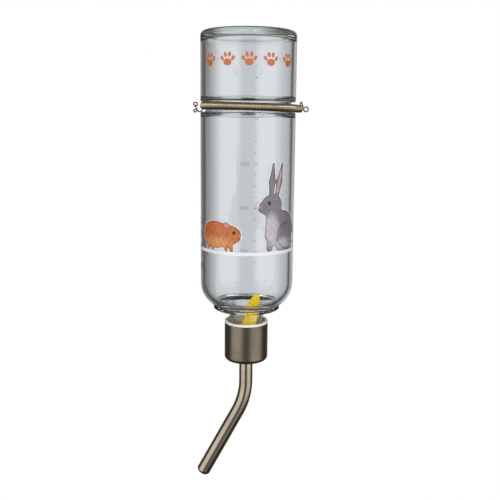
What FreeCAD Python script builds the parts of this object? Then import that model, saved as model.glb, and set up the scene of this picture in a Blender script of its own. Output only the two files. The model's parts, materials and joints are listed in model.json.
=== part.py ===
import FreeCAD, Part

# Hanging glass water bottle for rabbits and other small livestock, millimetres, +Z up.
# The origin is on the bottle's axis at the middle of its waist, 0.8 mm above the middle of the spring's groove.
# -Y is the front; the bottle hangs upside down, so its base is on top and its mouth points down.

import math
import os

import Sketcher

SHEET = "Sizes"

SIZES = {
    # glass bottle: heights are from the middle of the waist
    "body_diameter": 68.0,
    "glass_wall": 3.4,
    "base_height": 51.3,
    "base_round": 3.5,
    "base_inner_round": 2.6,
    "base_dish_depth": 1.2,
    "base_dish_radius": 24.0,
    "base_land_width": 3.0,
    "base_thickness": 5.0,
    "groove_depth": 3.4,
    "groove_top_height": 2.7,
    "groove_bottom_depth": 4.3,
    "groove_edge_round": 1.2,
    "groove_floor_round": 1.0,
    "bulge_half_height": 7.3,
    "bulge_flat_height": 2.9,
    "shoulder_depth": 127.6,
    "shoulder_radius": 20.1,
    "shoulder_turn": 59.8,
    "inner_shoulder_turn": 75.0,
    "throat_round": 4.5,
    "collar_diameter": 49.0,
    "collar_top_depth": 145.6,
    "collar_bottom_depth": 147.7,
    "collar_round": 0.7,
    "neck_diameter": 25.6,
    "neck_bore": 20.4,
    "neck_root_round": 1.8,
    "mouth_depth": 178.0,
    "mouth_round": 1.1,
    # screw thread between the neck and the cap's liner
    "thread_pitch": 4.0,
    "thread_top_depth": 162.0,
    "neck_thread_rise": 7.0,
    "liner_thread_rise": 9.0,
    "neck_thread_diameter": 27.6,
    "liner_thread_diameter": 26.3,
    "thread_root_width": 2.0,
    "thread_crest_width": 0.9,
    "thread_bite": 0.3,
    # cap
    "cap_diameter": 32.4,
    "cap_top_depth": 159.0,
    "cap_bottom_depth": 188.0,
    "cap_sheet": 0.6,
    "cap_corner_round": 3.2,
    "liner_fit": 0.1,
    "liner_bore": 28.4,
    "lip_height": 1.7,
    "lip_round": 0.6,
    "liner_floor": 2.0,
    "liner_skirt": 1.6,
    "boss_diameter": 15.0,
    "tube_hole_diameter": 10.36,
    "washer_diameter": 27.4,
    "washer_bore": 6.6,
    "washer_thickness": 2.2,
    # drinking tube and its ball
    "tube_diameter": 10.2,
    "tube_bore": 8.5,
    "flange_diameter": 24.0,
    "flange_thickness": 1.2,
    "tube_bend_depth": 205.4,
    "tube_bend_radius": 50.0,
    "tube_bend_angle": 29.2,
    "tube_spout_length": 52.8,
    "tube_heading": 8.0,
    "tip_length": 3.0,
    "tip_opening": 6.0,
    "tip_sheet": 0.6,
    "ball_diameter": 7.9,
    "ball_set_back": 3.28,
    # float
    "float_diameter": 9.6,
    "float_length": 41.2,
    "float_nose_length": 13.0,
    "float_tip_radius": 1.2,
    "float_tail_length": 5.0,
    "float_lean": 16.0,
    "float_tail_offset": -3.0,
    "float_drop": 0.3,
    # holding spring and its hooks
    "spring_diameter": 5.6,
    "spring_bore": 3.8,
    "spring_lay_radius": 33.75,
    "spring_left_end": 204.0,
    "spring_right_leave": 338.0,
    "spring_left_tail": 1.2,
    "spring_right_tail": 15.4,
    "spring_tilt": 1.25,
    "spring_drop": 0.8,
    "spring_wire": 0.9,
    "hook_gap": 0.5,
    "left_hook_swing": 56.0,
    "left_hook_rise_angle": 42.0,
    "left_hook_rise_length": 3.0,
    "left_hook_crest_radius": 0.8,
    "left_hook_fall_angle": 5.0,
    "left_hook_lead": 1.1,
    "left_hook_radius": 3.1,
    "right_hook_swing": -53.0,
    "right_hook_rise_angle": 85.0,
    "right_hook_rise_length": 2.2,
    "right_hook_crest_radius": 0.5,
    "right_hook_fall_angle": 72.0,
    "right_hook_lead": 5.7,
    "right_hook_radius": 1.7,
    "hook_mouth_angle": 150.0,
}

class Size:
    """A number together with the spreadsheet expression that gives it."""

    def __init__(self, value, text):
        self.value = float(value)
        self.text = text

    def __add__(self, other):
        other = as_size(other)
        return Size(self.value + other.value, f"({self.text} + {other.text})")

    def __sub__(self, other):
        other = as_size(other)
        return Size(self.value - other.value, f"({self.text} - {other.text})")

    def __mul__(self, other):
        other = as_size(other)
        return Size(self.value * other.value, f"({self.text} * {other.text})")

    def __truediv__(self, other):
        other = as_size(other)
        return Size(self.value / other.value, f"({self.text} / {other.text})")

    def __neg__(self):
        return Size(-self.value, f"(0 - {self.text})")


def as_size(number):
    """Wraps a plain number as a Size."""
    if isinstance(number, Size):
        return number
    return Size(number, repr(float(number)))


def cosine(angle):
    """Cosine of a Size in degrees."""
    return Size(math.cos(math.radians(angle.value)), f"cos({angle.text} * 1 deg)")


def sine(angle):
    """Sine of a Size in degrees."""
    return Size(math.sin(math.radians(angle.value)), f"sin({angle.text} * 1 deg)")


def tangent(angle):
    """Tangent of a Size in degrees."""
    return Size(math.tan(math.radians(angle.value)), f"tan({angle.text} * 1 deg)")


def size(name):
    """The Size kept in the sheet under this alias."""
    return Size(SIZES[name], f"{SHEET}.{name}")


ZERO = as_size(0)


def fill_sheet(doc):
    """Writes the driving sizes into the document's spreadsheet."""
    sheet = doc.addObject("Spreadsheet::Sheet", SHEET)
    for row, (name, value) in enumerate(SIZES.items(), start=1):
        sheet.set(f"A{row}", name.replace("_", " "))
        sheet.set(f"B{row}", str(value))
        sheet.setAlias(f"B{row}", name)
    doc.recompute()
    return sheet


def new_body(doc, label):
    """An empty PartDesign body whose label names the sub-part."""
    body = doc.addObject("PartDesign::Body", label)
    body.Label = label
    return body


def new_sketch(body, name, role):
    """A sketch on one of the body's own origin planes."""
    sketch = body.newObject("Sketcher::SketchObject", name)
    plane = next(item for item in body.Origin.OriginFeatures if item.Role == role)
    sketch.AttachmentSupport = [(plane, "")]
    sketch.MapMode = "FlatFace"
    return sketch


def bind(item, name, amount):
    """Binds one property of a feature to a sheet expression."""
    item.setExpression(name, as_size(amount).text)


def flat(point):
    """A sketch point as a vector."""
    return FreeCAD.Vector(point[0].value, point[1].value, 0)


class Outline:
    """A run of lines and arcs in a sketch whose corners and radii are bound to the sheet."""

    def __init__(self, sketch, across, up):
        self.sketch = sketch
        self.start = (as_size(across), as_size(up))
        self.here = self.start
        self.first = None
        self.last = None

    def hold(self, kind, index, spot, amount):
        """Adds one bound dimension from the sketch's origin to a point."""
        row = self.sketch.addConstraint(Sketcher.Constraint(kind, index, spot, amount.value))
        self.sketch.setExpression(f"Constraints[{row}]", amount.text)

    def hold_point(self, index, spot, point):
        """Fixes a point, with an axis where its distance is nothing."""
        for kind, axis, amount in (("DistanceX", -2, point[0]), ("DistanceY", -1, point[1])):
            if amount.text == ZERO.text:
                self.sketch.addConstraint(Sketcher.Constraint("PointOnObject", index, spot, axis))
            else:
                self.hold(kind, index, spot, amount)

    def join(self, index, begin, end, point):
        """Joins a new edge to the last one and fixes its far end."""
        if self.last is None:
            self.first = (index, begin)
            self.hold_point(index, begin, self.start)
        else:
            link = Sketcher.Constraint("Coincident", self.last[0], self.last[1], index, begin)
            self.sketch.addConstraint(link)
        if point is self.start:
            link = Sketcher.Constraint("Coincident", index, end, self.first[0], self.first[1])
            self.sketch.addConstraint(link)
        else:
            self.hold_point(index, end, point)
        self.last = (index, end)
        self.here = point

    def line(self, across, up):
        """A straight edge to a point."""
        point = (as_size(across), as_size(up))
        edge = Part.LineSegment(flat(self.here), flat(point))
        self.join(self.sketch.addGeometry(edge, False), 1, 2, point)
        return self

    def arc(self, across, up, radius, left):
        """A round edge of under half a turn to a point, turning left or right."""
        point = (as_size(across), as_size(up))
        begin, end = flat(self.here), flat(point)
        chord = end - begin
        side = 1 if left else -1
        rise = math.sqrt(max(radius.value**2 - (chord.Length / 2) ** 2, 0))
        centre = (begin + end) / 2 + FreeCAD.Vector(-chord.y, chord.x, 0) * (side * rise / chord.Length)
        angles = [math.atan2(spot.y - centre.y, spot.x - centre.x) for spot in (begin, end)]
        low, high = angles if left else reversed(angles)
        if high < low:
            high += 2 * math.pi
        circle = Part.Circle(centre, FreeCAD.Vector(0, 0, 1), radius.value)
        index = self.sketch.addGeometry(Part.ArcOfCircle(circle, low, high), False)
        row = self.sketch.addConstraint(Sketcher.Constraint("Radius", index, radius.value))
        self.sketch.setExpression(f"Constraints[{row}]", radius.text)
        self.join(index, 1 if left else 2, 2 if left else 1, point)
        return self

    def close(self):
        """A straight edge back to the start."""
        edge = Part.LineSegment(flat(self.here), flat(self.start))
        self.join(self.sketch.addGeometry(edge, False), 1, 2, self.start)
        return self


def add_circle(sketch, radius, across=ZERO, up=ZERO):
    """A circle bound to the sheet, about the sketch's origin or a point on one of its axes."""
    centre = FreeCAD.Vector(across.value, up.value, 0)
    index = sketch.addGeometry(Part.Circle(centre, FreeCAD.Vector(0, 0, 1), radius.value), False)
    for kind, axis, amount in (("DistanceX", -2, across), ("DistanceY", -1, up)):
        if amount is ZERO:
            sketch.addConstraint(Sketcher.Constraint("PointOnObject", index, 3, axis))
        else:
            row = sketch.addConstraint(Sketcher.Constraint(kind, index, 3, amount.value))
            sketch.setExpression(f"Constraints[{row}]", amount.text)
    row = sketch.addConstraint(Sketcher.Constraint("Radius", index, radius.value))
    sketch.setExpression(f"Constraints[{row}]", radius.text)


def turn_profile(body, sketch, name="Turned", axis="V_Axis"):
    """Turns a closed profile fully about an axis of its sketch."""
    solid = body.newObject("PartDesign::Revolution", name)
    solid.Profile = sketch
    solid.ReferenceAxis = (sketch, [axis])
    solid.Angle = 360
    return solid


def add_thread(body, name, wall_radius, crest_radius, low, rise):
    """A trapezoid ridge wound right-handed up the body's axis."""
    sketch = new_sketch(body, name + "Ridge", "XZ_Plane")
    root = size("thread_root_width") / 2
    crest = size("thread_crest_width") / 2
    ridge = Outline(sketch, wall_radius, low - root)
    ridge.line(crest_radius, low - crest)
    ridge.line(crest_radius, low + crest)
    ridge.line(wall_radius, low + root)
    ridge.close()
    thread = body.newObject("PartDesign::AdditiveHelix", name)
    thread.Profile = sketch
    thread.ReferenceAxis = (sketch, ["V_Axis"])
    thread.Mode = 0
    thread.Angle = 0
    thread.Growth = 0
    thread.LeftHanded = False
    thread.Reversed = False
    bind(thread, "Pitch", size("thread_pitch"))
    bind(thread, "Height", rise)
    return thread


def sweep(body, route, section, name):
    """Sweeps a section sketch along a route sketch."""
    pipe = body.newObject("PartDesign::AdditivePipe", name)
    pipe.Profile = section
    pipe.Spine = (route, [""])
    return pipe


def make_bottle(doc):
    """The glass bottle: dished base on top, groove, shoulder, collar, neck and screw thread."""
    body = new_body(doc, "glass_bottle")
    radius = size("body_diameter") / 2
    inner = radius - size("glass_wall")
    top = size("base_height")
    edge = size("groove_edge_round")
    fillet = size("groove_floor_round")
    groove_top = size("groove_top_height")
    groove_low = size("groove_bottom_depth")
    floor = radius - size("groove_depth")
    sketch = new_sketch(body, "Wall", "XZ_Plane")
    wall = Outline(sketch, 0, top - size("base_dish_depth"))
    wall.line(size("base_dish_radius"), top - size("base_dish_depth"))
    wall.line(size("base_dish_radius") + size("base_land_width"), top)
    wall.line(radius - size("base_round"), top)
    wall.arc(radius, top - size("base_round"), size("base_round"), left=False)
    wall.line(radius, groove_top + edge)
    wall.arc(radius - edge, groove_top, edge, left=False)
    wall.line(floor + fillet, groove_top)
    wall.arc(floor, groove_top - fillet, fillet, left=True)
    wall.line(floor, fillet - groove_low)
    wall.arc(floor + fillet, -groove_low, fillet, left=True)
    wall.line(radius - edge, -groove_low)
    wall.arc(radius, -(groove_low + edge), edge, left=False)
    shoulder = size("shoulder_radius")
    depth = size("shoulder_depth")
    wall.line(radius, -depth)
    turn = size("shoulder_turn")
    wall.arc(radius - shoulder + shoulder * cosine(turn), -(depth + shoulder * sine(turn)), shoulder, left=False)
    collar = size("collar_diameter") / 2
    collar_edge = size("collar_round")
    collar_low = size("collar_bottom_depth")
    wall.line(collar, -size("collar_top_depth"))
    wall.line(collar, collar_edge - collar_low)
    wall.arc(collar - collar_edge, -collar_low, collar_edge, left=False)
    neck = size("neck_diameter") / 2
    root = size("neck_root_round")
    wall.line(neck + root, -collar_low)
    wall.arc(neck, -(collar_low + root), root, left=True)
    mouth = size("mouth_depth")
    rim = size("mouth_round")
    bore = size("neck_bore") / 2
    wall.line(neck, rim - mouth)
    wall.arc(neck - rim, -mouth, rim, left=False)
    wall.line(bore + rim, -mouth)
    wall.arc(bore, rim - mouth, rim, left=False)
    # throat: an arc that leaves the neck's bore and meets the inner shoulder along its tangent
    inner_shoulder = shoulder - size("glass_wall")
    inner_turn = size("inner_shoulder_turn")
    throat = size("throat_round")
    reach = throat * tangent(inner_turn / 2)
    end_across = inner - inner_shoulder + inner_shoulder * cosine(inner_turn)
    end_up = -(depth + inner_shoulder * sine(inner_turn))
    corner_up = end_up - (end_across - bore) / tangent(inner_turn)
    wall.line(bore, corner_up - reach)
    wall.arc(bore + reach * sine(inner_turn), corner_up + reach * cosine(inner_turn), throat, left=False)
    wall.line(end_across, end_up)
    wall.arc(inner, -depth, inner_shoulder, left=True)
    # inside of the groove: two equal arcs each way make a soft bulge
    high = size("bulge_half_height")
    low = size("bulge_flat_height")
    middle = (groove_top - groove_low) / 2
    step = size("groove_depth")
    bend = (step * step + (high - low) * (high - low)) / (step * 4)
    bulge = inner - step
    wall.line(inner, middle - high)
    wall.arc(inner - step / 2, middle - (high + low) / 2, bend, left=True)
    wall.arc(bulge, middle - low, bend, left=False)
    wall.line(bulge, middle + low)
    wall.arc(inner - step / 2, middle + (high + low) / 2, bend, left=False)
    wall.arc(inner, middle + high, bend, left=True)
    roof = top - size("base_thickness")
    corner = size("base_inner_round")
    wall.line(inner, roof - corner)
    wall.arc(inner - corner, roof, corner, left=True)
    wall.line(0, roof)
    wall.close()
    turn_profile(body, sketch)
    bite = size("thread_bite")
    low_thread = -(size("thread_top_depth") + size("neck_thread_rise"))
    crest = size("neck_thread_diameter") / 2
    add_thread(body, "NeckThread", neck - bite, crest, low_thread, size("neck_thread_rise"))
    return body


def make_cap_shell(doc):
    """The pressed metal cup around the liner, with a hole for the drinking tube."""
    body = new_body(doc, "cap_shell")
    radius = size("cap_diameter") / 2
    sheet = size("cap_sheet")
    corner = size("cap_corner_round")
    top = -size("cap_top_depth")
    low = -size("cap_bottom_depth")
    hole = size("tube_hole_diameter") / 2
    sketch = new_sketch(body, "Cup", "XZ_Plane")
    cup = Outline(sketch, radius, top)
    cup.line(radius, low + corner)
    cup.arc(radius - corner, low, corner, left=False)
    cup.line(hole, low)
    cup.line(hole, low + sheet)
    cup.line(radius - corner, low + sheet)
    cup.arc(radius - sheet, low + corner, corner - sheet, left=True)
    cup.line(radius - sheet, top)
    cup.close()
    turn_profile(body, sketch)
    return body


def liner_floor_top():
    """Height of the face that the tube's flange rests on."""
    return -(size("mouth_depth") + size("washer_thickness") + size("flange_thickness"))


def make_cap_liner(doc):
    """The moulded insert: lip on the shell's rim, threaded bore, floor, skirt and centre boss."""
    body = new_body(doc, "cap_liner")
    radius = size("cap_diameter") / 2
    outer = radius - size("cap_sheet") - size("liner_fit")
    bore = size("liner_bore") / 2
    rim = -size("cap_top_depth")
    lip = rim + size("lip_height")
    soft = size("lip_round")
    floor = liner_floor_top()
    under = floor - size("liner_floor")
    seat = -(size("cap_bottom_depth") - size("cap_sheet"))
    hole = size("tube_hole_diameter") / 2
    boss = size("boss_diameter") / 2
    corner = size("cap_corner_round")
    skirt = outer - size("liner_skirt")
    sketch = new_sketch(body, "Insert", "XZ_Plane")
    insert = Outline(sketch, bore, lip - soft)
    insert.arc(bore + soft, lip, soft, left=False)
    insert.line(radius - soft, lip)
    insert.arc(radius, lip - soft, soft, left=False)
    insert.line(radius, rim)
    insert.line(outer, rim)
    insert.line(outer, seat + corner)
    insert.line(skirt, seat + corner)
    insert.line(skirt, under)
    insert.line(boss, under)
    insert.line(boss, seat)
    insert.line(hole, seat)
    insert.line(hole, floor)
    insert.line(bore, floor)
    insert.close()
    turn_profile(body, sketch)
    low = -(size("thread_top_depth") + size("liner_thread_rise"))
    crest = size("liner_thread_diameter") / 2
    add_thread(body, "LinerThread", bore + size("thread_bite"), crest, low, size("liner_thread_rise"))
    return body


def make_washer(doc):
    """The rubber washer that the bottle's mouth presses on."""
    body = new_body(doc, "rubber_washer")
    sketch = new_sketch(body, "Ring", "XY_Plane")
    add_circle(sketch, size("washer_diameter") / 2)
    add_circle(sketch, size("washer_bore") / 2)
    pad = body.newObject("PartDesign::Pad", "Thickness")
    pad.Profile = sketch
    bind(pad, "Length", size("washer_thickness"))
    bind(body, "Placement.Base.z", -(size("mouth_depth") + size("washer_thickness")))
    return body


def tube_end():
    """Where the spout's open end is in the bend's own plane: across from the axis, and up."""
    bend = size("tube_bend_radius")
    angle = size("tube_bend_angle")
    spout = size("tube_spout_length")
    across = bend - bend * cosine(angle) + spout * sine(angle)
    up = -(size("tube_bend_depth") + bend * sine(angle) + spout * cosine(angle))
    return across, up


def make_tube(doc):
    """The bent metal drinking tube: flange on top, long bend, and a tip rolled in over the ball."""
    body = new_body(doc, "drinking_tube")
    top = liner_floor_top()
    depth = size("tube_bend_depth")
    bend = size("tube_bend_radius")
    angle = size("tube_bend_angle")
    end_across, end_up = tube_end()
    # the body's own plane has its origin at the underside of the flange
    route = new_sketch(body, "Route", "XZ_Plane")
    run = Outline(route, 0, 0)
    run.line(0, -(depth + top))
    run.arc(-(bend - bend * cosine(angle)), -(depth + top + bend * sine(angle)), bend, left=False)
    run.line(-end_across, end_up - top)
    section = new_sketch(body, "Section", "XY_Plane")
    add_circle(section, size("tube_diameter") / 2)
    add_circle(section, size("tube_bore") / 2)
    sweep(body, route, section, "Bent")
    flange = new_sketch(body, "FlangeRing", "XY_Plane")
    add_circle(flange, size("flange_diameter") / 2)
    add_circle(flange, size("tube_bore") / 2)
    plate = body.newObject("PartDesign::Pad", "Flange")
    plate.Profile = flange
    bind(plate, "Length", size("flange_thickness"))
    add_tip(body, end_across, end_up - top)
    turn = FreeCAD.Rotation(FreeCAD.Vector(0, 0, 1), SIZES["tube_heading"])
    body.Placement = FreeCAD.Placement(FreeCAD.Vector(), turn)
    bind(body, "Placement.Rotation.Angle", size("tube_heading"))
    bind(body, "Placement.Base.z", top)
    return body


def add_tip(body, end_across, end_up):
    """The rolled-in tip, turned about the spout's own axis."""
    angle = size("tube_bend_angle")
    sketch = new_sketch(body, "Tip", "XZ_Plane")

    def spot(out, along):
        """A point beside the spout: distance out from its axis and past its end."""
        across = -end_across - as_size(along) * sine(angle) - as_size(out) * cosine(angle)
        up = end_up - as_size(along) * cosine(angle) + as_size(out) * sine(angle)
        return across, up

    outer = size("tube_diameter") / 2
    inner = size("tube_bore") / 2
    sheet = size("tip_sheet")
    length = size("tip_length")
    opening = size("tip_opening") / 2
    start, stop = spot(0, 0), spot(0, length)
    axis = sketch.addGeometry(Part.LineSegment(flat(start), flat(stop)), True)
    for place, point in ((1, start), (2, stop)):
        for kind, amount in (("DistanceX", point[0]), ("DistanceY", point[1])):
            row = sketch.addConstraint(Sketcher.Constraint(kind, axis, place, amount.value))
            sketch.setExpression(f"Constraints[{row}]", amount.text)
    crimp = outer - opening
    curl = (crimp * crimp + length * length) / (crimp * 2)
    inner_crimp = inner - opening
    inner_length = length - sheet
    inner_curl = (inner_crimp * inner_crimp + inner_length * inner_length) / (inner_crimp * 2)
    rolled = Outline(sketch, *spot(outer, 0))
    rolled.arc(*spot(opening, length), curl, left=True)
    rolled.line(*spot(opening, inner_length))
    rolled.arc(*spot(inner, 0), inner_curl, left=False)
    rolled.close()
    turn_profile(body, sketch, "RolledTip", "Axis0")


def make_ball(doc):
    """The steel ball in the tip that lets water past when it is pushed in."""
    ball = doc.addObject("Part::Sphere", "valve_ball")
    ball.Label = "valve_ball"
    bind(ball, "Radius", size("ball_diameter") / 2)
    end_across, end_up = tube_end()
    angle = size("tube_bend_angle")
    heading = size("tube_heading")
    past = size("tip_length") - size("ball_set_back")
    across = end_across + past * sine(angle)
    bind(ball, "Placement.Base.x", -across * cosine(heading))
    bind(ball, "Placement.Base.y", -across * sine(heading))
    bind(ball, "Placement.Base.z", end_up - past * cosine(angle))
    return ball


def make_float(doc):
    """The cigar-shaped level float, leaning in the neck with its tail on the washer."""
    body = new_body(doc, "level_float")
    radius = size("float_diameter") / 2
    length = size("float_length")
    nose = size("float_nose_length")
    tail = size("float_tail_length")
    tip = size("float_tip_radius")
    sketch = new_sketch(body, "Cigar", "XZ_Plane")
    nose_curve = ((radius - tip) * (radius - tip) + nose * nose) / ((radius - tip) * 2)
    tail_curve = ((radius - tip) * (radius - tip) + tail * tail) / ((radius - tip) * 2)
    cigar = Outline(sketch, 0, 0)
    cigar.line(tip, 0)
    cigar.arc(radius, tail, tail_curve, left=True)
    cigar.line(radius, length - nose)
    cigar.arc(tip, length, nose_curve, left=True)
    cigar.line(0, length)
    cigar.close()
    turn_profile(body, sketch)
    lean = size("float_lean")
    body.Placement = FreeCAD.Placement(
        FreeCAD.Vector(), FreeCAD.Rotation(FreeCAD.Vector(0, 1, 0), SIZES["float_lean"])
    )
    bind(body, "Placement.Rotation.Angle", lean)
    bind(body, "Placement.Base.x", size("float_tail_offset"))
    bind(body, "Placement.Base.z", tip * sine(lean) - size("float_drop") - size("mouth_depth"))
    return body


def spring_frame():
    """Placement that tilts the spring's plane down towards +X and drops it in the groove."""
    tilt = FreeCAD.Rotation(FreeCAD.Vector(0, 1, 0), SIZES["spring_tilt"])
    return FreeCAD.Placement(FreeCAD.Vector(0, 0, -SIZES["spring_drop"]), tilt)


def make_spring(doc):
    """The close-wound holding spring as a hollow tube round the front of the groove."""
    body = new_body(doc, "spring_coil")
    lay = size("spring_lay_radius")
    round_angle = size("spring_right_leave") - size("spring_left_end")
    middle = round_angle / 2
    left_tail = size("spring_left_tail")
    right_tail = size("spring_right_tail")
    # the body's own plane is turned so that the arc in the groove starts on its X axis
    route = new_sketch(body, "Route", "XY_Plane")
    run = Outline(route, lay, -left_tail)
    run.line(lay, 0)
    run.arc(lay * cosine(middle), lay * sine(middle), lay, left=True)
    run.arc(lay * cosine(round_angle), lay * sine(round_angle), lay, left=True)
    run.line(
        lay * cosine(round_angle) - right_tail * sine(round_angle),
        lay * sine(round_angle) + right_tail * cosine(round_angle),
    )
    section = new_sketch(body, "Section", "XZ_Plane")
    section.AttachmentOffset = FreeCAD.Placement(
        FreeCAD.Vector(0, 0, SIZES["spring_left_tail"]), FreeCAD.Rotation()
    )
    bind(section, "AttachmentOffset.Base.z", left_tail)
    add_circle(section, size("spring_diameter") / 2, across=lay)
    add_circle(section, size("spring_bore") / 2, across=lay)
    sweep(body, route, section, "Coil")
    turn = FreeCAD.Rotation(FreeCAD.Vector(0, 0, 1), SIZES["spring_left_end"])
    body.Placement = spring_frame().multiply(FreeCAD.Placement(FreeCAD.Vector(), turn))
    return body


def spring_end(side):
    """One end of the spring in its own plane: point on its centreline and outward heading."""
    lay = SIZES["spring_lay_radius"]
    left = side == "left"
    angle = math.radians(SIZES["spring_left_end" if left else "spring_right_leave"])
    heading = FreeCAD.Vector(-math.sin(angle), math.cos(angle), 0) * (-1 if left else 1)
    point = FreeCAD.Vector(lay * math.cos(angle), lay * math.sin(angle), 0)
    return point + heading * SIZES[f"spring_{side}_tail"], heading


def make_end_hook(doc, side):
    """The wire at one end of the spring, bent out over a small crest into an open hook."""
    body = new_body(doc, f"{side}_end_hook")
    wire = size("spring_wire")
    start_up = (size("spring_diameter") - wire) / 2
    rise = size(f"{side}_hook_rise_angle")
    fall = size(f"{side}_hook_fall_angle")
    crest = size(f"{side}_hook_crest_radius")
    hook = size(f"{side}_hook_radius")
    lead = size(f"{side}_hook_lead")
    mouth = size("hook_mouth_angle")
    climb = size(f"{side}_hook_rise_length")
    crest_across = climb * cosine(rise)
    crest_up = climb * sine(rise) + start_up
    fall_across = crest_across + crest * (sine(rise) + sine(fall))
    fall_up = crest_up + crest * (cosine(fall) - cosine(rise))
    foot_across = fall_across + lead * cosine(fall)
    foot_up = fall_up - lead * sine(fall)
    # the left hook closes towards the spring's centreline, the right one back over its own lead
    over = side == "right"
    facing = 1 if over else -1
    centre_across = foot_across + hook * sine(fall) * facing
    centre_up = foot_up + hook * cosine(fall) * facing
    route = new_sketch(body, "Route", "XZ_Plane")
    run = Outline(route, 0, start_up)
    run.line(crest_across, crest_up)
    run.arc(fall_across, fall_up, crest, left=False)
    run.line(foot_across, foot_up)
    run.arc(centre_across + hook, centre_up, hook, left=over)
    end_up = centre_up + hook * sine(mouth) * facing
    run.arc(centre_across + hook * cosine(mouth), end_up, hook, left=over)
    # the wire's section stands square to its first straight
    section = new_sketch(body, "Section", "YZ_Plane")
    lean = FreeCAD.Rotation(FreeCAD.Vector(1, 0, 0), -rise.value)
    section.AttachmentOffset = FreeCAD.Placement(FreeCAD.Vector(0, start_up.value, 0), lean)
    bind(section, "AttachmentOffset.Base.y", start_up)
    bind(section, "AttachmentOffset.Rotation.Angle", ZERO - rise)
    add_circle(section, wire / 2)
    sweep(body, route, section, "Wire")
    point, heading = spring_end(side)
    roll = 180 if side == "left" else 0
    spin = FreeCAD.Rotation(FreeCAD.Vector(1, 0, 0), roll)
    yaw = FreeCAD.Rotation(FreeCAD.Vector(1, 0, 0), heading)
    swing = FreeCAD.Rotation(FreeCAD.Vector(0, 0, 1), SIZES[f"{side}_hook_swing"])
    gap = heading * SIZES["hook_gap"]
    facing_turn = swing.multiply(yaw).multiply(spin)
    body.Placement = spring_frame().multiply(FreeCAD.Placement(point + gap, facing_turn))
    return body


def build():
    """Makes the whole document and returns it with its sub-parts."""
    doc = FreeCAD.newDocument("RabbitWaterBottle")
    fill_sheet(doc)
    parts = [make_bottle(doc), make_cap_shell(doc), make_cap_liner(doc), make_washer(doc)]
    parts += [make_tube(doc), make_ball(doc), make_float(doc), make_spring(doc)]
    parts += [make_end_hook(doc, side) for side in ("left", "right")]
    doc.recompute()
    return doc, parts


def check(doc, parts):
    """Stops if any object failed or any sub-part has no valid solid."""
    for item in doc.Objects:
        if "Invalid" in item.State or "Error" in item.State:
            raise RuntimeError(f"{item.Name} failed: {item.State}")
    for part in parts:
        if part.Shape.isNull() or not part.Shape.isValid() or len(part.Shape.Solids) != 1:
            raise RuntimeError(f"{part.Label} has no single valid solid")


def main():
    """Builds, checks and exports every sub-part."""
    doc, parts = build()
    check(doc, parts)
    os.makedirs("parts", exist_ok=True)
    for part in parts:
        box = part.Shape.BoundBox
        print(f"{part.Label:18s} {part.Shape.Volume:10.1f} mm3", end=" ")
        print(f"z {box.ZMin:8.2f} {box.ZMax:8.2f} x {box.XMin:7.2f} {box.XMax:7.2f}")
        part.Shape.exportStep(f"parts/{part.Label}.step")


main()
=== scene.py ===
"""Looks of a hanging glass water bottle for rabbits and guinea pigs, in metres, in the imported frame."""

import json
import logging
import math
from dataclasses import dataclass
from enum import Enum
from typing import Callable, Iterable, Sequence

import bmesh
import bpy
import numpy as np
from mathutils import Matrix, Vector

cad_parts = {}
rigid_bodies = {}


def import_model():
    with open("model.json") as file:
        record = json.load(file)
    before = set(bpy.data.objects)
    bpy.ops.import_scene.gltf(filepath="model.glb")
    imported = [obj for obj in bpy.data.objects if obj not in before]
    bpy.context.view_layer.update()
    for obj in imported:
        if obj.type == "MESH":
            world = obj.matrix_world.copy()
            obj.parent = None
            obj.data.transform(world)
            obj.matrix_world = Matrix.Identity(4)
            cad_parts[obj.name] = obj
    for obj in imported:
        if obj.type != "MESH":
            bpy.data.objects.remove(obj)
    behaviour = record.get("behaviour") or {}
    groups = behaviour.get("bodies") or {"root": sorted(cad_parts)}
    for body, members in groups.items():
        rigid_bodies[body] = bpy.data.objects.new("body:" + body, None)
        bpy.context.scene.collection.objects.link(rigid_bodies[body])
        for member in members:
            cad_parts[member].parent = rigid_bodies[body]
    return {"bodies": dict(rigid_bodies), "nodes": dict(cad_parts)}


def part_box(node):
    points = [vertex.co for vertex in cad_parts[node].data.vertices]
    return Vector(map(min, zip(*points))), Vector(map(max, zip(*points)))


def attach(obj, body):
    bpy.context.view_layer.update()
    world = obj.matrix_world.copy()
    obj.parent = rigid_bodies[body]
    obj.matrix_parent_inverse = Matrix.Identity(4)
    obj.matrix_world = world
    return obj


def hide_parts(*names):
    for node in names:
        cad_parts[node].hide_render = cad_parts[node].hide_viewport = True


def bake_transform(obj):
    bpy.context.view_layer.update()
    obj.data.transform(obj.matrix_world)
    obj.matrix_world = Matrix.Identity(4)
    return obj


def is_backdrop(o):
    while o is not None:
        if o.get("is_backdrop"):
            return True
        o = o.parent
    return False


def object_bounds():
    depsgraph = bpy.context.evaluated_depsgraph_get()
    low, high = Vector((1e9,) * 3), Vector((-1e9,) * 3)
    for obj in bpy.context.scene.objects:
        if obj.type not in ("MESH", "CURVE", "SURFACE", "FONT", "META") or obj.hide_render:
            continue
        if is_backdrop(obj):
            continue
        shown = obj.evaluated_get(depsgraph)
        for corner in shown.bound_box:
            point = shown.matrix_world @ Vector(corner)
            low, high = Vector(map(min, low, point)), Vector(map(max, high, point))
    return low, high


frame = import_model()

LOG = logging.getLogger("bottle")
MILLI = 0.001

Colour = tuple[float, float, float]
Field = np.ndarray
Material = bpy.types.Material
Node = bpy.types.Node
Piece = bpy.types.Object
Socket = bpy.types.NodeSocket
Spot = Sequence[float]
Tree = bpy.types.NodeTree


class Side(Enum):
    """The two ends of the holding spring."""

    LEFT = "left"
    RIGHT = "right"


class Grain(Enum):
    """Which way a metal's fine scratches run."""

    ROUND = "round"
    ALONG = "along"


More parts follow.
